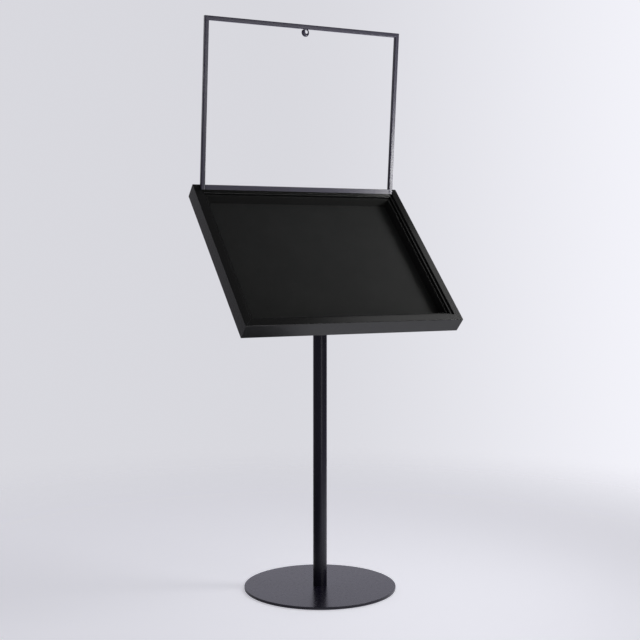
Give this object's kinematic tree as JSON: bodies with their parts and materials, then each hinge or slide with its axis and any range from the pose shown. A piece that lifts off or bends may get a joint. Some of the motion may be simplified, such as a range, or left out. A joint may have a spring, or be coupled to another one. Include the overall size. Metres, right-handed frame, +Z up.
{
  "type": "eyeglasses display stand",
  "caption": "Pedestal display stand: tilted black tray with a lift-out felt liner on a disc base, and a square-bar sign hoop with a hook.",
  "frame": {"origin": "centre of the underside of the felt under the base disc, on the floor and on the pole's axis", "axes": "+Z up along the pole, +Y towards the high back edge of the tray, +X to the right as seen from the low front edge"},
  "size_m": [0.53, 0.365, 1.3025],
  "materials": {
    "satin_black": "satin",
    "tray_black": "satin",
    "zinc": "satin",
    "felt": "matte",
    "board": "matte"
  },
  "bodies": {
    "stand": {"base_felt": "felt", "base_disc": "satin_black", "base_screw": "zinc", "foot_plug": "zinc", "pole_tube": "satin_black", "head_socket": "tray_black", "set_screws": "zinc", "head_plate": "tray_black", "rear_gusset": "tray_black", "front_gusset": "tray_black", "tray_screws": "zinc", "tray_washers": "zinc", "tray_nuts": "zinc", "front_rail": "tray_black", "back_rail": "tray_black", "left_rail": "tray_black", "right_rail": "tray_black", "tray_pan": "tray_black", "pan_rivets": "zinc", "hoop_left_post": "satin_black", "hoop_right_post": "satin_black", "hoop_top_bar": "satin_black", "hoop_foot_bar": "satin_black", "hoop_screws": "zinc", "hook_insert": "zinc", "sign_hook": "satin_black"},
    "liner": {"liner_board": "board", "liner_felt": "felt", "liner_front": "felt", "liner_back": "felt", "liner_left": "felt", "liner_right": "felt"}
  },
  "joints": [
    {"name": "liner_lift", "type": "slide", "parent": "stand", "child": "liner", "axis": [0, -0.7071, 0.7071], "range_m": [0, 0.06]}
  ]
}
